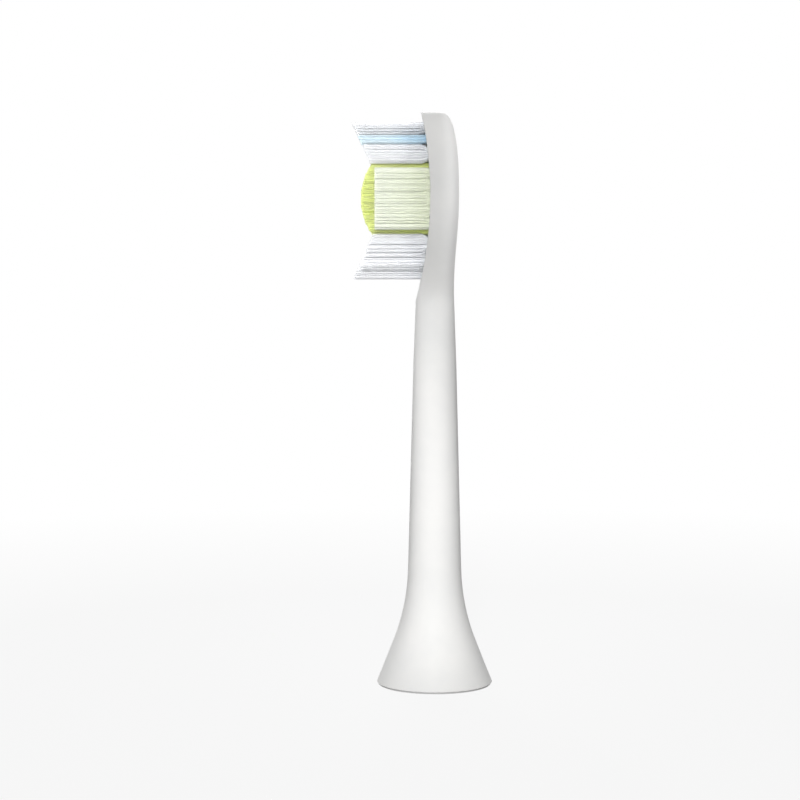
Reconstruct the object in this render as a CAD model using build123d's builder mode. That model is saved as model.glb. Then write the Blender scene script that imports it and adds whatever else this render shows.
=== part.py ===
from build123d import *

import os
from collections import namedtuple
from math import cos, pi, sin, sqrt

# Clip-on electric toothbrush head, in millimetres. +Z runs up the neck, the bristles point
# to -Y, and the origin is the middle of the skirt's rim, which stands on Z = 0.

# Skirt and neck
overall_height = 88.0
rim_radius = 8.9
rim_chamfer = 0.35
skirt_wall = 1.3
flare_height = 12.0
flare_blend = 32.0
neck_base_radius = 4.27
neck_top_radius = 3.3
neck_top_drop = 9.5

# Plate that carries the bristles, with depths measured from the neck's axis
tip_margin = 1.4
throat_run_in = 3.3
throat_radius = 2.95
plate_half_width = 6.6
plate_back = 3.67
plate_waist = 0.9
plate_front = 2.7
tip_front = 5.0
round_handle = 0.5523
back_flatness = 0.86
back_roundness = 0.72
wall_straightness = 0.95
heel_fullness = 0.75
tip_fullness = 2.4
tip_width_power = 0.42
tip_back_power = 0.3
tip_close = 0.995
section_count = 12
sides_per_quarter = 7
face_depth = 0.81
dish_radius = 61.4
dish_lift = 0.5

# Bristle tufts and their holes
hole_radius = 0.75
tuft_sides = 8
hole_floor = 1.75
tuft_clearance = 0.02
across_pitch = 2.14
core_pitch = 2.34
middle_pitch = 2.2
side_pitch = 1.95
side_place = 4.25
tip_row_pitch = 2.0
heel_row_pitch = 2.12
row_bow = 0.6
core_rows = 5
middle_rows = 6
side_tufts = 5
end_rows = 3
blue_row = 2

# Trim of the bristle tips: the arch's reach in front of the neck's axis, and the rest set from it
arch_reach = 11.27
arch_sag = 1.77
side_drop = 2.07
tip_notch_rise = 0.4
tip_rise = 2.95
heel_rise = 3.0

# Flat wire anchor at the foot of each tuft
anchor_thickness = 0.25
anchor_height = 1.2
anchor_end_gap = 0.05
anchor_turn = 40
anchor_clearance = 0.02

# Coupling insert with a round guide and a D-shaped drive socket for the handle's shaft
shaft_radius = 1.9
shaft_clearance = 0.05
guide_length = 7.0
drive_step = 0.25
drive_flat = 1.25
drive_length = 12.0
plug_radius = 2.85
plug_clearance = 0.05
plug_end_wall = 1.5
plug_end_gap = 0.3
plug_lead_in = 0.4
flange_height = 7.0
flange_thickness = 1.2
flange_clearance = 0.1
guide_lead_in = 0.35
key_width = 1.2
key_rise = 0.5
key_length = 4.0

# Leaf spring that clips on the flat of the shaft
spring_thickness = 0.25
spring_width = 1.9
spring_length = 11.0
spring_clearance = 0.03
spring_land = 2.6
nose_reach = 0.2
nose_round = 0.8
bend_round = 0.5
groove_floor = 2.15

# Places that follow from the sizes above
guide_radius = shaft_radius + shaft_clearance
drive_radius = guide_radius - drive_step
plug_bore_radius = plug_radius + plug_clearance
seat_height = flange_height + flange_thickness
guide_top = flange_height + guide_length
drive_top = guide_top + drive_length
plug_top = drive_top + plug_end_wall
tuft_radius = hole_radius - tuft_clearance
core_half = core_pitch * (core_rows - 1) / 2
bow_reach = across_pitch * end_rows / 2


def row_bow_at(across):
    """How far a tuft stands out of its row towards the end of the field."""
    return row_bow * (1 - abs(across) / bow_reach)


end_tuft_across = across_pitch / 2
tip_field = core_half + end_rows * tip_row_pitch + row_bow_at(end_tuft_across) + hole_radius
heel_field = core_half + end_rows * heel_row_pitch + row_bow_at(end_tuft_across) + hole_radius
core_field = core_half + hole_radius
field_height = overall_height - tip_margin - tip_field
dish_height = field_height + dish_lift
heel_end_height = field_height - heel_field
throat_height = heel_end_height - throat_run_in
neck_top_height = throat_height - neck_top_drop
neck_slope = (throat_radius - neck_top_radius) / neck_top_drop
arch_radius = (core_field**2 + arch_sag**2) / (2 * arch_sag)
notch_reach = arch_reach - arch_sag
tip_notch_reach = notch_reach + tip_notch_rise
tip_reach = tip_notch_reach + tip_rise
side_reach = arch_reach - side_drop
heel_reach = notch_reach + heel_rise

# The flare's line meets Z = 0 outside the chamfered rim
flare_lean = (rim_radius - neck_base_radius) / flare_height
rim_corner = rim_radius + rim_chamfer * flare_lean


def flare_radius_at(height):
    """Outer radius of the straight flare of the skirt."""
    return rim_corner - (rim_corner - neck_base_radius) * height / flare_height


# A tuft's place across and along the field, the reach of its tip and the slope of its trim
Tuft = namedtuple("Tuft", "name across along reach slope")


def end_tufts(end, direction, row_pitch, core_reach, end_reach, end_field):
    """Rows that narrow by one tuft at a time from the core to one end of the field."""
    slope = (end_reach - core_reach) / (end_field - core_field)
    tufts = []
    for row in range(1, end_rows + 1):
        count = end_rows + 2 - row
        colour = "blue" if end == "tip" and row == blue_row else "white"
        for place in range(count):
            across = across_pitch * (place - (count - 1) / 2)
            along = core_half + row * row_pitch + row_bow_at(across)
            reach = core_reach + slope * (along - core_field)
            name = f"{end}_tuft_{colour}_{row}_{place + 1}"
            tufts.append(Tuft(name, across, direction * along, reach, direction * slope))
    along = middle_pitch * (middle_rows - 1) / 2
    reach = core_reach + slope * (along - core_field)
    tufts.append(Tuft(f"{end}_tuft_white_inner", 0, direction * along, reach, direction * slope))
    return tufts


def core_tuft(name, across, along):
    """Tuft of the core, trimmed to the arch."""
    rise = sqrt(arch_radius**2 - along**2)
    return Tuft(name, across, along, arch_reach - arch_radius + rise, -along / rise)


tufts = end_tufts("tip", 1, tip_row_pitch, tip_notch_reach, tip_reach, tip_field)
for side_name, side in (("left", -1), ("right", 1)):
    for row in range(core_rows):
        name = f"core_tuft_green_{side_name}_{row + 1}"
        tufts.append(core_tuft(name, side * across_pitch, core_half - row * core_pitch))
    for row in range(side_tufts):
        name = f"side_tuft_white_{side_name}_{row + 1}"
        along = side_pitch * ((side_tufts - 1) / 2 - row)
        tufts.append(Tuft(name, side * side_place, along, side_reach, 0))
for row in range(1, middle_rows - 1):
    along = middle_pitch * ((middle_rows - 1) / 2 - row)
    tufts.append(core_tuft(f"core_tuft_green_middle_{row}", 0, along))
tufts += end_tufts("heel", -1, heel_row_pitch, notch_reach, heel_reach, heel_field)

tuft_places = [(tuft.across, field_height + tuft.along) for tuft in tufts]
anchor_length = 2 * (hole_radius * cos(pi / tuft_sides) - anchor_end_gap)
anchor_depth = hole_floor - anchor_clearance - anchor_height / 2
anchor_places = [Location((x, anchor_depth, z), (0, anchor_turn, 0)) for x, z in tuft_places]
tuft_foot = anchor_depth - anchor_height / 2 - anchor_clearance
# Each hole turns a flat side to both ends of its anchor
tuft_turn = 180 / tuft_sides - anchor_turn

# A section of the plate: its half width, how far its widest line lies behind the neck's axis,
# how deep it is behind and in front of that line, and its share of the way from round to square
Section = namedtuple("Section", "half_width waist back front squareness")


def mix(start, end, share):
    """Value that goes from start to end as the share goes from 0 to 1."""
    return start + (end - start) * share


def ease(share):
    """Share that starts and ends level."""
    return sin(pi / 2 * share) ** 2


def section_at(height):
    """Section of the plate, which grows out of the round throat and is widest at its dish."""
    if height < dish_height:
        share = (height - throat_height) / (dish_height - throat_height)
        neck_line = throat_radius + neck_slope * (height - throat_height) * (1 - share)
        widen = ease(share**heel_fullness)
        waist = mix(0, plate_waist, widen)
        half_width = mix(neck_line, plate_half_width, widen)
        back = mix(neck_line, plate_back, ease(share))
        front = mix(neck_line, plate_front, ease(share))
        return Section(half_width, waist, back - waist, front + waist, widen)
    share = tip_close * (height - dish_height) / (overall_height - dish_height)
    remainder = 1 - share**tip_fullness
    waist = mix(plate_waist, 0, share)
    half_width = plate_half_width * remainder**tip_width_power
    back = plate_back * remainder**tip_back_power
    front = mix(plate_front, tip_front, share)
    return Section(half_width, waist, back - waist, front + waist, 1)


def quarter_corners(section, depth, across_handle, depth_handle):
    """Corners on a quarter of a section, from its widest line to its middle."""
    corners = []
    for step in range(sides_per_quarter + 1):
        share = step / sides_per_quarter
        rest = 1 - share
        across = rest**3 + 3 * rest**2 * share + 3 * rest * share**2 * across_handle
        inward = 3 * rest**2 * share * depth_handle + 3 * rest * share**2 + share**3
        corners.append((section.half_width * across, section.waist + depth * inward))
    return corners


def section_corners(section):
    """Corners of a section, from its front round its right side and back round its left."""
    flatness = mix(round_handle, back_flatness, section.squareness)
    roundness = mix(round_handle, back_roundness, section.squareness)
    straightness = mix(round_handle, wall_straightness, section.squareness)
    back = quarter_corners(section, section.back, flatness, roundness)
    front = quarter_corners(section, -section.front, straightness, straightness)
    right = front[:0:-1] + back
    left = [(-across, depth) for across, depth in right[-2:0:-1]]
    return right + left


# Moulded body: flared skirt, tapering neck and dished plate in one piece
shoulder_radius = flare_radius_at(seat_height) - skirt_wall
with BuildPart() as brush_body:
    with BuildSketch(Plane.XZ):
        with BuildLine():
            FilletPolyline(
                (rim_corner, 0),
                (neck_base_radius, flare_height),
                (neck_top_radius, neck_top_height),
                (throat_radius, throat_height),
                radius=(flare_blend, 0),
            )
            Polyline((throat_radius, throat_height), (0, throat_height), (0, 0), (rim_corner, 0))
        make_face()
    revolve(axis=Axis.Z)
    rim_edge = brush_body.edges().filter_by(GeomType.CIRCLE).sort_by(Axis.Z)[0]
    chamfer(rim_edge, rim_chamfer)

    # The plate's skin is made of narrow strips, straight across and curved along the plate
    for count in range(section_count + 1):
        height = mix(throat_height, overall_height, sin(pi / 2 * count / section_count))
        with BuildSketch(Plane.XY.offset(height)):
            with BuildLine():
                Polyline(*section_corners(section_at(height)), close=True)
            make_face()
    loft()

    with Locations((0, -(face_depth + dish_radius), dish_height)):
        Cylinder(dish_radius, 4 * plate_half_width, rotation=(0, 90, 0), mode=Mode.SUBTRACT)

    # Hollow skirt, and the bore for the insert with its keyway
    with BuildSketch(Plane.XZ):
        with BuildLine():
            Polyline(
                (0, 0),
                (flare_radius_at(0) - skirt_wall, 0),
                (shoulder_radius, seat_height),
                (plug_bore_radius, seat_height),
                (plug_bore_radius, plug_top + plug_end_gap),
                (0, plug_top + plug_end_gap),
                close=True,
            )
        make_face()
    revolve(axis=Axis.Z, mode=Mode.SUBTRACT)
    key_room = key_length + plug_clearance
    with Locations((0, (plug_bore_radius + key_rise) / 2, seat_height + key_room / 2)):
        Box(key_width + 2 * plug_clearance, plug_bore_radius + key_rise, key_room, mode=Mode.SUBTRACT)

    # Blind tuft holes
    with BuildSketch(Plane.XZ.offset(-hole_floor)):
        with Locations(*tuft_places):
            RegularPolygon(hole_radius, tuft_sides, rotation=tuft_turn)
    extrude(amount=hole_floor + plate_front + tip_front, mode=Mode.SUBTRACT)

# Coupling insert: flanged plug with the key, the stepped socket and the spring's groove
groove_room = spring_length + 2 * spring_clearance
groove_middle = guide_top + drive_length / 2
window_length = spring_length - 2 * spring_land
with BuildPart() as coupling_insert:
    with BuildSketch(Plane.XY.offset(flange_height)):
        Circle(shoulder_radius - flange_clearance)
    extrude(amount=flange_thickness)
    with BuildSketch(Plane.XY.offset(flange_height)):
        Circle(plug_radius)
    extrude(amount=plug_top - flange_height)
    chamfer(coupling_insert.faces().sort_by(Axis.Z)[-1].edges(), plug_lead_in)
    with Locations((0, (plug_radius + key_rise) / 2, seat_height + key_length / 2)):
        Box(key_width, plug_radius + key_rise, key_length)
    with BuildSketch(Plane.XY.offset(flange_height)):
        Circle(guide_radius)
    extrude(amount=guide_length, mode=Mode.SUBTRACT)
    guide_mouth = coupling_insert.edges().filter_by(GeomType.CIRCLE).group_by(Axis.Z)[0].sort_by(SortBy.RADIUS)[0]
    chamfer(guide_mouth, guide_lead_in)
    with BuildSketch(Plane.XY.offset(guide_top)):
        Circle(drive_radius)
        with Locations((0, -drive_flat)):
            Rectangle(2 * drive_radius, drive_radius, align=(Align.CENTER, Align.MAX), mode=Mode.SUBTRACT)
    extrude(amount=drive_length, mode=Mode.SUBTRACT)
    groove_depth = plug_radius - groove_floor
    with Locations((0, -groove_floor, groove_middle)):
        Box(
            spring_width + 2 * spring_clearance, 2 * groove_depth, groove_room,
            align=(Align.CENTER, Align.MAX, Align.CENTER), mode=Mode.SUBTRACT,
        )
        Box(
            spring_width + 2 * spring_clearance, groove_floor, window_length,
            align=(Align.CENTER, Align.MIN, Align.CENTER), mode=Mode.SUBTRACT,
        )

# Leaf spring: flat ends on the groove's floor and a nose through the window
leaf_face = -(groove_floor + spring_clearance)
leaf_end = spring_length / 2
ramp_start = window_length / 2 - bend_round
spring_plane = Plane(origin=(0, 0, groove_middle), x_dir=(0, 1, 0), z_dir=(1, 0, 0))
with BuildPart() as retaining_spring:
    with BuildSketch(spring_plane):
        with BuildLine():
            FilletPolyline(
                (leaf_face, -leaf_end),
                (leaf_face, -ramp_start),
                (nose_reach - drive_flat, 0),
                (leaf_face, ramp_start),
                (leaf_face, leaf_end),
                radius=(bend_round, nose_round, bend_round),
            )
            offset(amount=spring_thickness, side=Side.LEFT)
        make_face()
    extrude(amount=spring_width / 2, both=True)

# One anchor under each tuft
with BuildPart() as tuft_anchors:
    with Locations(*anchor_places):
        Box(anchor_length, anchor_height, anchor_thickness)

os.makedirs("parts", exist_ok=True)
brush_body.part.label = "brush_body"
export_step(brush_body.part, "parts/brush_body.step")
coupling_insert.part.label = "coupling_insert"
export_step(coupling_insert.part, "parts/coupling_insert.step")
retaining_spring.part.label = "retaining_spring"
export_step(retaining_spring.part, "parts/retaining_spring.step")
tuft_anchors.part.label = "tuft_anchors"
export_step(tuft_anchors.part, "parts/tuft_anchors.step")

# Bristle tufts, each standing on its anchor and trimmed at its own height and slope
for tuft, place in zip(tufts, tuft_places):
    with BuildPart() as bristle_tuft:
        with BuildSketch(Plane.XZ.offset(-tuft_foot)):
            with Locations(place):
                RegularPolygon(tuft_radius, tuft_sides, rotation=tuft_turn)
        extrude(amount=tuft_foot + tuft.reach + hole_radius)
        trim = Plane(origin=(tuft.across, -tuft.reach, place[1]), z_dir=(0, -1, -tuft.slope))
        split(bisect_by=trim, keep=Keep.BOTTOM)
    bristle_tuft.part.label = tuft.name
    export_step(bristle_tuft.part, f"parts/{tuft.name}.step")
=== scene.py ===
"""Looks of a clip-on electric toothbrush head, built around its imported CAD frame.

The coupling insert, the leaf spring and the anchors are CAD nodes that get procedural finishes.
The body is a merged copy of its CAD node with a smooth skin and softened edges, and each CAD tuft
is replaced by a bundle of modelled nylon filaments.
"""

import logging
import math
import random
from dataclasses import dataclass
from enum import Enum
from typing import Any, Iterable, Optional, Union

import bmesh
import bpy
from mathutils import Matrix, Vector

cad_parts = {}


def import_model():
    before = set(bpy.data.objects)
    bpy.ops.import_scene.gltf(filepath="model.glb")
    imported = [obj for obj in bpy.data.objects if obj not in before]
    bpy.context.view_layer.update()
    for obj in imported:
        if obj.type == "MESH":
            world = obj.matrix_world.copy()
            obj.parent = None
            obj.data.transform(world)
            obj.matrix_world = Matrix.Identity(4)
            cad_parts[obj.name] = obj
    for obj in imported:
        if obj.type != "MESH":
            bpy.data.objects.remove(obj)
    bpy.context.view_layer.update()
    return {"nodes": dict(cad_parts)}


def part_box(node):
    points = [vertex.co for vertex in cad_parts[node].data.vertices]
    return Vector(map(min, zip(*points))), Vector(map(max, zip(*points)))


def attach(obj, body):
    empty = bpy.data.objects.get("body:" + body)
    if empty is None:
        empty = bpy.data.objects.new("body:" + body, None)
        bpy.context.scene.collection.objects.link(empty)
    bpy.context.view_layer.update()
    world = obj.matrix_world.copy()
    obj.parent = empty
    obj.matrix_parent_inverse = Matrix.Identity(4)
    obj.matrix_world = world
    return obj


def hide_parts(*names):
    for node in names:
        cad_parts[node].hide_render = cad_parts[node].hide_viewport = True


LOG = logging.getLogger("toothbrush_head")
MM = 0.001
TUFT_MARK = "_tuft_"
SIDES = ("left", "right")
ACROSS = 0
ALONG = 2
NOISE_MIDDLE = 0.5
NOISE_ROUGHNESS = 0.55
MIX_SOCKETS = (0, 6, 7)
MIX_RESULT = 2
GOLDEN_ANGLE = math.pi * (3.0 - math.sqrt(5.0))
BLACK = (0.0, 0.0, 0.0)

Colour = tuple[float, float, float]
Place = tuple[float, float, float]
Box = tuple[Vector, Vector]
Nodes = dict[str, bpy.types.Object]
Number = Union[float, "Signal"]


class Signal:
    """A shader socket that takes part in Python expressions."""

    def __init__(self, graph: "Graph", socket: bpy.types.NodeSocket) -> None:
        """Wrap one output socket of a node in the graph."""
        self.graph = graph
        self.socket = socket

    def _math(self, operation: str, first: Number, second: Number) -> "Signal":
        """Add a Math node that works on two values."""
        return self.graph.node("ShaderNodeMath", {"operation": operation}, {0: first, 1: second})

    def __add__(self, other: Number) -> "Signal":
        """Sum of two values."""
        return self._math("ADD", self, other)

    def __radd__(self, other: Number) -> "Signal":
        """Sum of two values."""
        return self._math("ADD", other, self)

    def __sub__(self, other: Number) -> "Signal":
        """Difference of two values."""
        return self._math("SUBTRACT", self, other)

    def __rsub__(self, other: Number) -> "Signal":
        """Difference of two values, this one taken away."""
        return self._math("SUBTRACT", other, self)

    def __mul__(self, other: Number) -> "Signal":
        """Product of two values."""
        return self._math("MULTIPLY", self, other)

    def __rmul__(self, other: Number) -> "Signal":
        """Product of two values."""
        return self._math("MULTIPLY", other, self)

    def __truediv__(self, other: Number) -> "Signal":
        """Quotient of two values."""
        return self._math("DIVIDE", self, other)

    def __pow__(self, other: Number) -> "Signal":
        """This value to a power."""
        return self._math("POWER", self, other)

    def clamped(self) -> "Signal":
        """This value held between 0 and 1."""
        return self.graph.node("ShaderNodeClamp", {}, {"Value": self})

    def ranged(self, low: float, high: float) -> "Signal":
        """Share of the way from low to high, held between 0 and 1."""
        return ((self - low) / (high - low)).clamped()


class Graph:
    """The node tree of one material or world, with one method that makes its nodes."""

    def __init__(self, tree: bpy.types.NodeTree) -> None:
        """Start from an empty tree."""
        self.tree = tree
        self.tree.nodes.clear()

    def node(
        self,
        kind: str,
        settings: Optional[dict[str, Any]] = None,
        inputs: Optional[dict[Union[int, str], Any]] = None,
        output: Union[int, str] = 0,
    ) -> Signal:
        """Make a node.

        Args:
            kind: Blender's name of the node type.
            settings: Properties that are set first.
            inputs: Values or signals of its sockets, by index or name.
            output: Output socket to return.

        Returns:
            The chosen output as a signal.
        """
        node = self.tree.nodes.new(kind)
        for name, value in (settings or {}).items():
            setattr(node, name, value)
        for name, value in (inputs or {}).items():
            if isinstance(value, Signal):
                self.tree.links.new(value.socket, node.inputs[name])
            else:
                node.inputs[name].default_value = value
        return Signal(self, node.outputs[output]) if node.outputs else Signal(self, None)

    def position(self) -> Signal:
        """Object coordinates, which are the frame's own metres."""
        return self.node("ShaderNodeTexCoord", output="Object")

    def axes(self) -> tuple[Signal, Signal, Signal]:
        """The three object coordinates as values."""
        place = self.position()
        split = self.node("ShaderNodeSeparateXYZ", inputs={0: place}).socket.node
        return tuple(Signal(self, split.outputs[index]) for index in range(3))

    def noise(self, scale: float, detail: float = 2.0, stretch: Place = (1.0, 1.0, 1.0)) -> Signal:
        """Noise over the piece.

        Args:
            scale: Waves per metre.
            detail: Octaves.
            stretch: Factor on each coordinate before the noise is read.

        Returns:
            A value around NOISE_MIDDLE.
        """
        place = self.node(
            "ShaderNodeVectorMath",
            {"operation": "MULTIPLY"},
            {0: self.position(), 1: stretch},
        )
        return self.node(
            "ShaderNodeTexNoise",
            inputs={"Vector": place, "Scale": scale, "Detail": detail, "Roughness": NOISE_ROUGHNESS},
        )

    def mix(self, share: Number, first: Any, second: Any) -> Signal:
        """Blend two colours by a share."""
        settings = {"data_type": "RGBA"}
        pair = (colour if isinstance(colour, Signal) else (*colour, 1.0) for colour in (first, second))
        inputs = dict(zip(MIX_SOCKETS, (share, *pair)))
        return self.node("ShaderNodeMix", settings, inputs, output=MIX_RESULT)

    def bump(self, height: Signal, strength: float, distance: float) -> Signal:
        """Normals from a height."""
        inputs = {"Height": height, "Strength": strength, "Distance": distance}
        return self.node("ShaderNodeBump", inputs=inputs)

    def principled(self, **inputs: Any) -> Signal:
        """Principled shader, its sockets given by their names."""
        sockets = {name.replace("_", " "): value for name, value in inputs.items()}
        return self.node("ShaderNodeBsdfPrincipled", inputs=sockets)

    def surface(self, shader: Signal) -> None:
        """Finish the material with a shader."""
        self.node("ShaderNodeOutputMaterial", inputs={"Surface": shader})


def new_graph(name: str) -> tuple[bpy.types.Material, Graph]:
    """Make an empty node material.

    Args:
        name: Name of the material.

    Returns:
        The material and its graph.
    """
    material = bpy.data.materials.new(name)
    material.use_nodes = True
    return material, Graph(material.node_tree)


@dataclass(frozen=True)
class MouldedPlastic:
    """Opaque moulded plastic with a fine texture and faint clouds in its gloss."""

    name: str
    colour: Colour
    cloud_colour: Colour
    roughness: float
    roughness_spread: float
    specular: float
    grain_height: float
    grain_scale: float = 9000.0
    grain_strength: float = 0.35
    cloud_scale: float = 160.0
    cloud_detail: float = 3.0
    cloud_range: tuple[float, float] = (0.35, 0.7)
    flow_scale: float = 420.0
    flow_stretch: Place = (1.0, 1.0, 0.25)
    flow_share: float = 0.6

    def material(self) -> bpy.types.Material:
        """Build the finish."""
        material, graph = new_graph(self.name)
        clouds = graph.noise(self.cloud_scale, self.cloud_detail)
        flow = graph.noise(self.flow_scale, stretch=self.flow_stretch)
        grain = graph.noise(self.grain_scale)
        colour = graph.mix(clouds.ranged(*self.cloud_range), self.colour, self.cloud_colour)
        height = grain + flow * self.flow_share
        shader = graph.principled(
            Base_Color=colour,
            Roughness=self.roughness + self.roughness_spread * (flow - NOISE_MIDDLE),
            Normal=graph.bump(height, self.grain_strength, self.grain_height),
            Specular_IOR_Level=self.specular,
        )
        graph.surface(shader)
        return material


@dataclass(frozen=True)
class RolledMetal:
    """Strip metal with rolling lines along one axis."""

    name: str
    colour: Colour
    dull_colour: Colour
    roughness: float
    line_stretch: Place
    line_scale: float = 5200.0
    line_detail: float = 3.0
    line_strength: float = 0.3
    line_height: float = 0.02 * MM
    roughness_spread: float = 0.2
    tarnish_scale: float = 700.0
    tarnish_range: tuple[float, float] = (0.4, 0.75)

    def material(self) -> bpy.types.Material:
        """Build the finish."""
        material, graph = new_graph(self.name)
        lines = graph.noise(self.line_scale, self.line_detail, self.line_stretch)
        tarnish = graph.noise(self.tarnish_scale)
        colour = graph.mix(tarnish.ranged(*self.tarnish_range), self.colour, self.dull_colour)
        shader = graph.principled(
            Base_Color=colour,
            Metallic=1.0,
            Roughness=self.roughness + self.roughness_spread * (lines - NOISE_MIDDLE),
            Normal=graph.bump(lines, self.line_strength, self.line_height),
        )
        graph.surface(shader)
        return material


@dataclass(frozen=True)
class Nylon:
    """Bristle filaments: paler at the tips, each one a little different from the next.

    The colour turns from root to tip between two depths in front of the neck's axis. The darker root colour
    is painted shade where the tufts crowd at the plate. Glow is the share of the light that goes through.
    """

    name: str
    tip_colour: Colour
    painted_shade_root_colour: Colour
    root_depth: float = -0.8 * MM
    tip_depth: float = -7.5 * MM
    tone_spread: float = 0.03
    glow: float = 0.75
    specular: float = 0.2
    roughness: float = 0.35
    roughness_spread: float = 0.25
    grip_scale: float = 1500.0
    grip_stretch: Place = (1.0, 0.2, 1.0)
    grip_strength: float = 0.15
    grip_height: float = 0.01 * MM

    def material(self) -> bpy.types.Material:
        """Build the finish."""
        material, graph = new_graph(self.name)
        _, depth, _ = graph.axes()
        tone = graph.node("ShaderNodeAttribute", {"attribute_name": "tone"}, output="Fac")
        grip = graph.noise(self.grip_scale, stretch=self.grip_stretch)
        share = depth.ranged(self.root_depth, self.tip_depth)
        # painted shade: the colour darkens from the tips towards the roots, where the tufts crowd at the
        # plate
        colour = graph.mix(share, self.painted_shade_root_colour, self.tip_colour)
        toned = graph.mix(1.0 - tone * self.tone_spread, BLACK, colour)
        skin = graph.principled(
            Base_Color=toned,
            Roughness=self.roughness + self.roughness_spread * grip,
            Normal=graph.bump(grip, self.grip_strength, self.grip_height),
            Specular_IOR_Level=self.specular,
        )
        glow = graph.node("ShaderNodeBsdfTranslucent", inputs={"Color": toned})
        graph.surface(graph.node("ShaderNodeMixShader", inputs={0: self.glow, 1: skin, 2: glow}))
        return material


class BristleColour(Enum):
    """Colours of the tufts, as the CAD nodes' names give them."""

    WHITE = "white"
    BLUE = "blue"
    GREEN = "green"

    @classmethod
    def of(cls, name: str) -> "BristleColour":
        """Colour of the tuft that a node's name gives."""
        return next(colour for colour in cls if f"_{colour.value}_" in name)


class BristleGroup(Enum):
    """Groups of the tufts, as the CAD nodes' names begin."""

    TIP = "tip_tuft"
    CORE = "core_tuft"
    SIDE = "side_tuft"
    HEEL = "heel_tuft"

    @classmethod
    def of(cls, name: str) -> "BristleGroup":
        """Group of the tuft that a node's name gives."""
        return next(group for group in cls if name.startswith(group.value))


def finished_piece(
    name: str,
    mesh: bmesh.types.BMesh,
    material: bpy.types.Material,
) -> bpy.types.Object:
    """Turn a bmesh into an object at the origin.

    Args:
        name: Name of the piece.
        mesh: Its mesh, which is freed.
        material: Its finish.

    Returns:
        The linked object.
    """
    data = bpy.data.meshes.new(name)
    mesh.to_mesh(data)
    mesh.free()
    data.materials.append(material)
    data.shade_smooth()
    piece = bpy.data.objects.new(name, data)
    bpy.context.scene.collection.objects.link(piece)
    return piece


@dataclass
class Filament:
    """One nylon filament, drawn along +Z from 0 to 1 before it is laid out."""

    radius: float = 0.1 * MM
    sides: int = 6
    ring_places: tuple[float, ...] = (0.07, 0.12, 0.18, 0.24, 0.985)
    tip_share: float = 0.7
    tip_band: float = 1e-4

    def template(self) -> bmesh.types.BMesh:
        """Closed six-sided rod with rings along it and a rounded tip.

        Returns:
            A new bmesh of unit length.
        """
        mesh = bmesh.new()
        bmesh.ops.create_cone(
            mesh,
            cap_ends=True,
            cap_tris=False,
            segments=self.sides,
            radius1=self.radius,
            radius2=self.radius,
            depth=1.0,
            matrix=Matrix.Translation((0.0, 0.0, 0.5)),
        )
        for place in self.ring_places:
            bmesh.ops.bisect_plane(
                mesh,
                geom=mesh.verts[:] + mesh.edges[:] + mesh.faces[:],
                plane_co=(0.0, 0.0, place),
                plane_no=(0.0, 0.0, 1.0),
            )
        tip = [vert for vert in mesh.verts if vert.co.z > 1.0 - self.tip_band]
        bmesh.ops.scale(mesh, verts=tip, vec=(self.tip_share, self.tip_share, 1.0))
        return mesh


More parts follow.
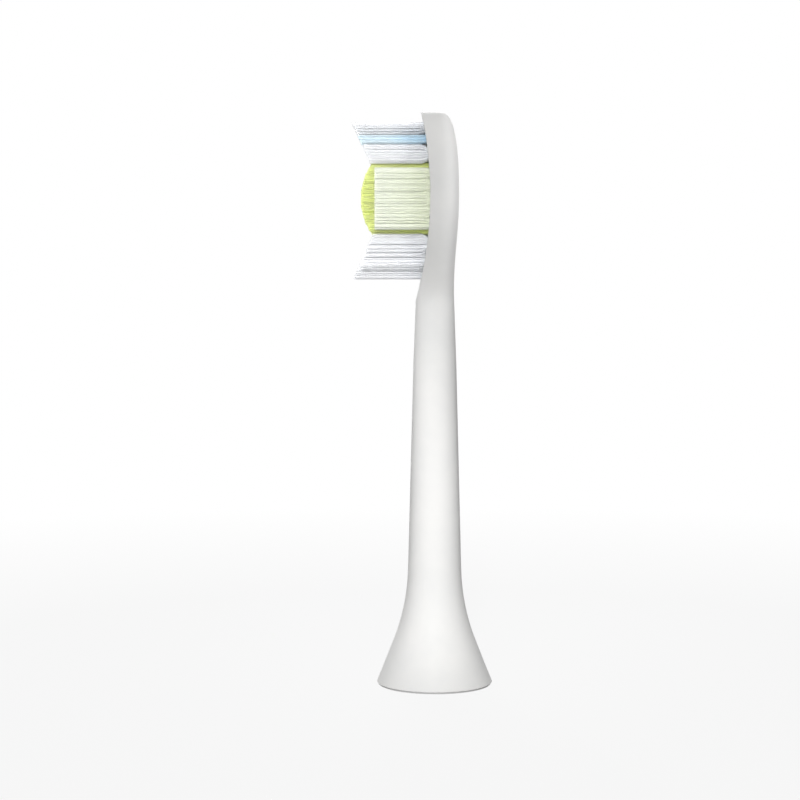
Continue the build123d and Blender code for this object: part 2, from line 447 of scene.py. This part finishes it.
@dataclass
class Tuft:
    """A bundle of filaments that stands for one CAD tuft.

    It fills its hole out to root_radius and fans out to tip_radius between two shares of its length,
    flare_start and flare_end. A blue row keeps to narrow_radius along the plate. The tips stray from
    their places and end a little short of the trim, by uneven at most.
    """

    node: str
    colour: BristleColour
    across: float
    along: float
    reach: float
    slope: float
    floor: float
    room: Box
    lowered: float
    filament_count: int = 120
    root_depth: float = 0.3 * MM
    root_radius: float = 0.66 * MM
    tip_radius: float = 1.55 * MM
    narrow_radius: float = 0.52 * MM
    stray: float = 0.09 * MM
    uneven: float = 0.1 * MM
    flare_start: float = 0.06
    flare_end: float = 0.24
    end_band: float = 0.01 * MM

    @classmethod
    def from_node(cls, name: str, node: bpy.types.Object, room: Box, lowered: float) -> "Tuft":
        """Read a tuft's place, reach and trim from its CAD node.

        Args:
            name: Name of the node.
            node: Its object.
            room: Box that the tips stay in.
            lowered: How far the box's top is set below the top of the tuft's group.

        Returns:
            The tuft.
        """
        low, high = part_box(name)
        middle = (low + high) / 2
        tips = [vert.co for vert in node.data.vertices if vert.co.y < middle.y]
        top = [place.y for place in tips if place.z > high.z - cls.end_band]
        bottom = [place.y for place in tips if place.z < low.z + cls.end_band]
        top_reach = -sum(top) / len(top)
        bottom_reach = -sum(bottom) / len(bottom)
        return cls(
            node=name,
            colour=BristleColour.of(name),
            across=middle.x,
            along=middle.z,
            reach=(top_reach + bottom_reach) / 2,
            slope=(top_reach - bottom_reach) / (high.z - low.z),
            floor=low.y,
            room=room,
            lowered=lowered,
        )

    def spread(self) -> list[tuple[float, float]]:
        """Even places on a disc of radius 1, by the golden angle."""
        places = []
        for index in range(self.filament_count):
            radius = math.sqrt((index + 0.5) / self.filament_count)
            angle = GOLDEN_ANGLE * index
            places.append((radius * math.cos(angle), radius * math.sin(angle)))
        return places

    def build(
        self,
        filament: Filament,
        material: bpy.types.Material,
        chance: random.Random,
    ) -> bpy.types.Object:
        """Lay out the filaments.

        Args:
            filament: The filament to repeat.
            material: Finish of the bundle.
            chance: Seeded source of the small differences.

        Returns:
            The piece, which rides on the root and replaces its CAD tuft.
        """
        mesh = filament.template()
        tone_layer = mesh.verts.layers.float.new("tone")
        first_verts = mesh.verts[:]
        pattern = first_verts + mesh.edges[:] + mesh.faces[:]
        for place in self.spread():
            copy = bmesh.ops.duplicate(mesh, geom=pattern)["geom"]
            verts = [item for item in copy if isinstance(item, bmesh.types.BMVert)]
            self._lay(verts, place, tone_layer, chance)
        bmesh.ops.delete(mesh, geom=first_verts)
        piece = finished_piece(f"{self.node}_filaments", mesh, material)
        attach(piece, "root")
        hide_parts(self.node)
        return piece

    def _free(self, side: float, axis: int, middle: float) -> float:
        """How far the tips may fan out to one side before they leave the tuft's group."""
        low, high = self.room
        free = high[axis] - middle if side > 0 else middle - low[axis]
        narrow = self.colour is BristleColour.BLUE and axis == ALONG
        return min(self.narrow_radius if narrow else self.tip_radius, free)

    def _held(self, offset: float, axis: int, middle: float) -> float:
        """An offset from the tuft's middle that stays in the tuft's group."""
        low, high = self.room
        return min(max(offset, low[axis] - middle), high[axis] - middle)

    def _flared(self, place: float) -> float:
        """Share of the fanning out that is reached at a place along a filament."""
        share = (place - self.flare_start) / (self.flare_end - self.flare_start)
        share = min(max(share, 0.0), 1.0)
        return share * share * (3.0 - 2.0 * share)

    def _lay(
        self,
        verts: list[bmesh.types.BMVert],
        place: tuple[float, float],
        tone_layer: bmesh.types.BMLayerItem,
        chance: random.Random,
    ) -> None:
        """Move one filament's vertices to its curved line from the hole to the trim.

        Args:
            verts: The filament's vertices, as the template has them.
            place: Its place in the bundle, on a disc of radius 1.
            tone_layer: Layer that keeps the filament's tone.
            chance: Seeded source of the small differences.
        """
        lean = [chance.gauss(0.0, self.stray) for _ in range(2)]
        short = chance.random() ** 2 * self.uneven
        tone = chance.random()
        free_across = self._free(place[0], ACROSS, self.across)
        free_along = self._free(place[1], ALONG, self.along)
        root_across = place[0] * min(self.root_radius, free_across)
        lowered = self.lowered if place[1] > 0 else 0.0
        root_along = place[1] * min(self.root_radius, free_along + lowered)
        tip_across = self._held(place[0] * free_across + lean[0], ACROSS, self.across)
        tip_along = self._held(place[1] * free_along + lean[1], ALONG, self.along)
        length = self.reach + self.slope * tip_along - short
        length = min(length, -self.floor) + self.root_depth
        for vert in verts:
            share = self._flared(vert.co.z)
            across = root_across * (1 - share) + tip_across * share
            along = root_along * (1 - share) + tip_along * share
            vert[tone_layer] = tone
            vert.co = (
                self.across + across + vert.co.x,
                self.root_depth - length * vert.co.z,
                self.along + along + vert.co.y,
            )


@dataclass
class BristleField:
    """All the tufts of the plate, with one finish for each colour."""

    seed: int = 17
    tip_trim: float = 0.3 * MM
    # Each root colour is darker than its tip colour: painted shade at the crowded roots.
    white: Nylon = Nylon("nylon_white", tip_colour=(0.982, 0.985, 0.992), painted_shade_root_colour=(0.955, 0.962, 0.975))
    blue: Nylon = Nylon("nylon_blue", tip_colour=(0.91, 0.97, 0.998), painted_shade_root_colour=(0.78, 0.91, 0.985))
    green: Nylon = Nylon("nylon_green", tip_colour=(0.955, 0.985, 0.66), painted_shade_root_colour=(0.93, 0.975, 0.55))
    # Painted light: the side rows are white tufts, and their faint green stands for the green core's light
    # shining through them.
    side: Nylon = Nylon("nylon_side_painted_green_light", tip_colour=(0.970, 0.982, 0.935), painted_shade_root_colour=(0.958, 0.975, 0.90))

    def finishes(self) -> dict[Enum, bpy.types.Material]:
        """Finish of each colour, and of the side rows, whose faint green is painted light from the green
        core that shines through them.
        """
        return {
            BristleColour.WHITE: self.white.material(),
            BristleColour.BLUE: self.blue.material(),
            BristleColour.GREEN: self.green.material(),
            BristleGroup.SIDE: self.side.material(),
        }

    def room(self, name: str, nodes: Nodes) -> Box:
        """Box that the tips of a tuft stay in, which is that of its group.

        Args:
            name: Name of the tuft's node.
            nodes: The frame's CAD nodes.

        Returns:
            The lowest and highest corner of the tufts at that end, in the core or at that side.
        """
        group = BristleGroup.of(name)
        side = next((word for word in SIDES if group is BristleGroup.SIDE and word in name), "")
        low, high = self._box(node for node in nodes if node.startswith(group.value) and side in node)
        core = BristleGroup.CORE.value
        core_low, core_high = self._box(node for node in nodes if node.startswith(core))
        if group is BristleGroup.TIP:
            low.z = max(low.z, core_high.z)
            high.z -= self.tip_trim
        if group is BristleGroup.HEEL:
            high.z = min(high.z, core_low.z)
        return low, high

    @staticmethod
    def _box(names: Iterable[str]) -> Box:
        """Box round some CAD nodes."""
        boxes = [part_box(name) for name in names]
        low = Vector(min(box[0][axis] for box in boxes) for axis in range(3))
        high = Vector(max(box[1][axis] for box in boxes) for axis in range(3))
        return low, high

    def build(self, nodes: Nodes) -> list[bpy.types.Object]:
        """Make a bundle for each CAD tuft.

        Args:
            nodes: The frame's CAD nodes.

        Returns:
            The bundles.
        """
        chance = random.Random(self.seed)
        finishes = self.finishes()
        filament = Filament()
        pieces = []
        for name in sorted(node for node in nodes if TUFT_MARK in node):
            group = BristleGroup.of(name)
            lowered = self.tip_trim if group is BristleGroup.TIP else 0.0
            tuft = Tuft.from_node(name, nodes[name], self.room(name, nodes), lowered)
            # the side rows take the finish with painted green light from the core
            key = group if group is BristleGroup.SIDE else tuft.colour
            pieces.append(tuft.build(filament, finishes[key], chance))
        return pieces


@dataclass
class BrushBody:
    """The moulded body: skirt, neck and plate in one smooth skin.

    Edges with a larger angle than sharp_angle stay sharp. Those round the plate's face, which lies above
    face_low, are rounded where they are further than hole_room from the middle of a tuft.
    """

    node: str = "brush_body"
    merge_distance: float = 0.0005 * MM
    sharp_angle: float = math.radians(32.0)
    edge_round: float = 0.3 * MM
    edge_steps: int = 3
    edge_profile: float = 0.5
    face_low: float = 0.056
    hole_room: float = 0.8 * MM
    seam_height: float = 59.28 * MM
    seam_band: float = 0.02 * MM
    seam_width: float = 0.03 * MM
    seam_rounds: int = 4
    finish: MouldedPlastic = MouldedPlastic(
        name="moulded_white",
        colour=(0.90, 0.895, 0.88),
        cloud_colour=(0.86, 0.86, 0.85),
        roughness=0.36,
        roughness_spread=0.1,
        specular=0.02,
        grain_height=0.012 * MM,
    )

    def build(self, nodes: Nodes) -> bpy.types.Object:
        """Merge a copy of the CAD node, close its seam, round the rim of its face and smooth its skin.

        Args:
            nodes: The frame's CAD nodes.

        Returns:
            The piece, which rides on the root and replaces the node.
        """
        mesh = bmesh.new()
        mesh.from_mesh(nodes[self.node].data)
        bmesh.ops.remove_doubles(mesh, verts=mesh.verts[:], dist=self.merge_distance)
        self._close_seam(mesh)
        centres = [self._centre(name) for name in nodes if TUFT_MARK in name]
        rim = [edge for edge in mesh.edges if self._is_rim(edge, centres)]
        bmesh.ops.bevel(
            mesh,
            geom=rim,
            offset=self.edge_round,
            offset_type="OFFSET",
            affect="EDGES",
            segments=self.edge_steps,
            profile=self.edge_profile,
            material=-1,
            clamp_overlap=True,
        )
        for edge in mesh.edges:
            edge.smooth = edge.calc_face_angle(0.0) < self.sharp_angle
        piece = finished_piece(f"{self.node}_moulding", mesh, self.finish.material())
        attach(piece, "root")
        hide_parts(self.node)
        return piece

    def _close_seam(self, mesh: bmesh.types.BMesh) -> None:
        """Close the hair-wide ledge where the round neck meets the many-sided foot of the plate.

        Args:
            mesh: The body's mesh, which is changed.
        """
        verts = [vert for vert in mesh.verts if self._at_seam(vert)]
        bmesh.ops.remove_doubles(mesh, verts=verts, dist=self.seam_width)
        for _ in range(self.seam_rounds):
            edges = [edge for edge in mesh.edges if all(self._at_seam(vert) for vert in edge.verts)]
            bmesh.ops.dissolve_degenerate(mesh, edges=edges, dist=self.seam_width)
        mesh.normal_update()

    def _at_seam(self, vert: bmesh.types.BMVert) -> bool:
        """Whether a vertex lies at the height where neck and plate meet."""
        return abs(vert.co.z - self.seam_height) < self.seam_band

    @staticmethod
    def _centre(name: str) -> tuple[float, float]:
        """Middle of a tuft, across and along the plate."""
        low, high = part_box(name)
        return (low.x + high.x) / 2, (low.z + high.z) / 2

    def _is_rim(self, edge: bmesh.types.BMEdge, centres: list[tuple[float, float]]) -> bool:
        """Whether an edge is a sharp one round the plate's face and not at a tuft's hole."""
        middle = (edge.verts[0].co + edge.verts[1].co) / 2
        if middle.z < self.face_low or edge.calc_face_angle(0.0) < self.sharp_angle:
            return False
        nearest = min(math.hypot(middle.x - across, middle.z - along) for across, along in centres)
        return middle.y < 0.0 and nearest > self.hole_room


@dataclass
class InnerParts:
    """The CAD nodes that stay, with their finishes."""

    insert: MouldedPlastic = MouldedPlastic(
        name="acetal_off_white",
        colour=(0.70, 0.71, 0.72),
        cloud_colour=(0.64, 0.65, 0.66),
        roughness=0.5,
        roughness_spread=0.15,
        specular=0.4,
        grain_height=0.02 * MM,
    )
    spring: RolledMetal = RolledMetal(
        name="spring_steel",
        colour=(0.62, 0.62, 0.61),
        dull_colour=(0.48, 0.47, 0.46),
        roughness=0.3,
        line_stretch=(1.0, 1.0, 0.05),
    )
    anchors: RolledMetal = RolledMetal(
        name="flat_wire_brass",
        colour=(0.72, 0.55, 0.24),
        dull_colour=(0.52, 0.38, 0.16),
        roughness=0.34,
        line_stretch=(0.1, 1.0, 1.0),
    )

    def dress(self, nodes: Nodes) -> list[bpy.types.Object]:
        """Give each node its finish.

        Args:
            nodes: The frame's CAD nodes.

        Returns:
            The dressed nodes.
        """
        finishes = {
            "coupling_insert": self.insert,
            "retaining_spring": self.spring,
            "tuft_anchors": self.anchors,
        }
        for name, finish in finishes.items():
            data = nodes[name].data
            data.materials.clear()
            data.materials.append(finish.material())
        return [nodes[name] for name in finishes]


def aimed_lamp(data: bpy.types.Light, place: Place, aim: Place) -> bpy.types.Object:
    """Put a lamp in the scene.

    Args:
        data: The lamp.
        place: Where it stands.
        aim: The point that it looks at.

    Returns:
        The linked object.
    """
    lamp = bpy.data.objects.new(data.name, data)
    lamp.location = place
    direction = Vector(aim) - Vector(place)
    lamp.rotation_euler = direction.to_track_quat("-Z", "Y").to_euler()
    bpy.context.scene.collection.objects.link(lamp)
    return lamp


@dataclass(frozen=True)
class SoftBox:
    """A square lamp that looks at a point."""

    name: str
    place: Place
    aim: Place
    size: float
    power: float

    def build(self) -> bpy.types.Object:
        """Add the lamp."""
        data = bpy.data.lights.new(self.name, "AREA")
        data.shape = "SQUARE"
        data.size = self.size
        data.energy = self.power
        return aimed_lamp(data, self.place, self.aim)


@dataclass(frozen=True)
class SoftSpot:
    """A round lamp with a soft-edged beam that looks at a point."""

    name: str
    place: Place
    aim: Place
    beam: float
    softness: float
    power: float
    edge_blend: float = 1.0

    def build(self) -> bpy.types.Object:
        """Add the lamp."""
        data = bpy.data.lights.new(self.name, "SPOT")
        data.spot_size = self.beam
        data.spot_blend = self.edge_blend
        data.shadow_soft_size = self.softness
        data.energy = self.power
        return aimed_lamp(data, self.place, self.aim)


def seen_directly(graph: Graph) -> Signal:
    """1 for camera, mirror and glass rays, 0 for light that falls on the object."""
    path = graph.node("ShaderNodeLightPath").socket.node
    rays = ("Is Camera Ray", "Is Glossy Ray", "Is Transmission Ray")
    camera, glossy, glass = (Signal(graph, path.outputs[name]) for name in rays)
    return (camera + glossy + glass).clamped()


@dataclass
class Studio:
    """Pale floor, soft lamps, white surroundings and the camera.

    The floor shows floor_white of white as far as clear_radius and is all white from white_radius on.
    """

    bristles: list[bpy.types.Object]
    floor_radius: float = 4.0
    floor_segments: int = 96
    floor_colour: Colour = (0.4, 0.4, 0.4)
    floor_white: float = 0.9
    clear_radius: float = 0.09
    white_radius: float = 0.22
    ambient: float = 0.18
    view_distance: float = 0.34
    view_height: float = 0.07
    frame_width: float = 0.123
    frame_centre: Place = (0.0, -0.00535, 0.044)
    sensor_width: float = 36.0
    clip_start: float = 0.01
    lamps: tuple[Union[SoftBox, SoftSpot], ...] = (
        SoftBox("key", place=(0.45, -0.05, 0.5), aim=(0.0, 0.0, 0.045), size=0.25, power=1.0),
        SoftBox("back", place=(-0.5, -0.06, 0.32), aim=(0.0, 0.0, 0.045), size=0.3, power=2.4),
        SoftSpot(
            "neck",
            place=(0.55, -0.04, 0.3),
            aim=(0.0, 0.0, 0.024),
            beam=math.radians(9.2),
            softness=0.02,
            power=11.8,
        ),
        SoftSpot(
            "plate",
            place=(0.24, 0.42, 0.22),
            aim=(0.0, 0.001, 0.083),
            beam=math.radians(7.0),
            softness=0.012,
            power=5.0,
        ),
        SoftSpot(
            "face",
            place=(0.0, -0.52, 0.13),
            aim=(0.0, -0.006, 0.077),
            beam=math.radians(5.0),
            softness=0.03,
            power=8.0,
        ),
    )
    bristle_fills: tuple[SoftSpot, ...] = (
        SoftSpot(
            "fill_right",
            place=(0.5, -0.12, 0.09),
            aim=(0.0, -0.006, 0.084),
            beam=math.radians(8.4),
            softness=0.02,
            power=7.6,
        ),
        SoftSpot(
            "fill_left",
            place=(-0.4, -0.38, 0.17),
            aim=(0.0, -0.006, 0.084),
            beam=math.radians(8.4),
            softness=0.02,
            power=5.0,
        ),
    )

    def build(self) -> None:
        """Set up everything round the object."""
        self._floor()
        self._world()
        self._lamps()
        self._camera()
        bpy.context.scene.view_settings.view_transform = "Standard"

    def _floor(self) -> None:
        """A wide disc that keeps the shadow near the object and is plain white further off."""
        mesh = bmesh.new()
        bmesh.ops.create_circle(mesh, cap_ends=True, segments=self.floor_segments, radius=self.floor_radius)
        floor = finished_piece("floor", mesh, self._floor_finish())

    def _floor_finish(self) -> bpy.types.Material:
        """Pale floor that camera, mirror and glass rays see turn white away from the object."""
        material, graph = new_graph("pale_floor")
        across, along, _ = graph.axes()
        distance = (across * across + along * along) ** 0.5
        far = distance.ranged(self.clear_radius, self.white_radius)
        share = (self.floor_white + (1.0 - self.floor_white) * far) * seen_directly(graph)
        diffuse = graph.node("ShaderNodeBsdfDiffuse", inputs={"Color": (*self.floor_colour, 1.0)})
        white = graph.node("ShaderNodeEmission", inputs={"Strength": 1.0})
        mixed = graph.node("ShaderNodeMixShader", inputs={0: share, 1: diffuse, 2: white})
        graph.surface(mixed)
        return material

    def _world(self) -> None:
        """White to the camera and to mirrors, dimmer as light on the object."""
        world = bpy.data.worlds.new("studio")
        world.use_nodes = True
        graph = Graph(world.node_tree)
        strength = self.ambient + (1.0 - self.ambient) * seen_directly(graph)
        inputs = {"Color": (1.0, 1.0, 1.0, 1.0), "Strength": strength}
        background = graph.node("ShaderNodeBackground", inputs=inputs)
        graph.node("ShaderNodeOutputWorld", inputs={"Surface": background})
        bpy.context.scene.world = world

    def _lamps(self) -> None:
        """Lamps that light everything, and fills that light the bristles alone."""
        for lamp in self.lamps:
            lamp.build()
        receivers = bpy.data.collections.new("bristles")
        for piece in self.bristles:
            receivers.objects.link(piece)
        for fill in self.bristle_fills:
            fill.build().light_linking.receiver_collection = receivers

    def _camera(self) -> None:
        """Side view from a little above, at the photograph's frame."""
        data = bpy.data.cameras.new("camera")
        data.sensor_width = self.sensor_width
        camera = bpy.data.objects.new("camera", data)
        centre = Vector(self.frame_centre)
        camera.location = Vector((self.view_distance, centre.y, self.view_height))
        direction = centre - camera.location
        data.lens = self.sensor_width * direction.length / self.frame_width
        data.clip_start = self.clip_start
        camera.rotation_euler = direction.to_track_quat("-Z", "Y").to_euler()
        bpy.context.scene.collection.objects.link(camera)
        bpy.context.scene.camera = camera


def main() -> None:
    """Build the looks round the frame."""
    logging.basicConfig(level=logging.INFO, format="%(name)s: %(message)s")
    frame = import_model()
    body = BrushBody().build(frame["nodes"])
    LOG.info("built %s with %d faces", body.name, len(body.data.polygons))
    for node in InnerParts().dress(frame["nodes"]):
        LOG.info("dressed %s", node.name)
    bristles = BristleField().build(frame["nodes"])
    for piece in bristles:
        LOG.info("built %s with %d faces", piece.name, len(piece.data.polygons))
    Studio(bristles).build()


if __name__ == "__main__":
    main()
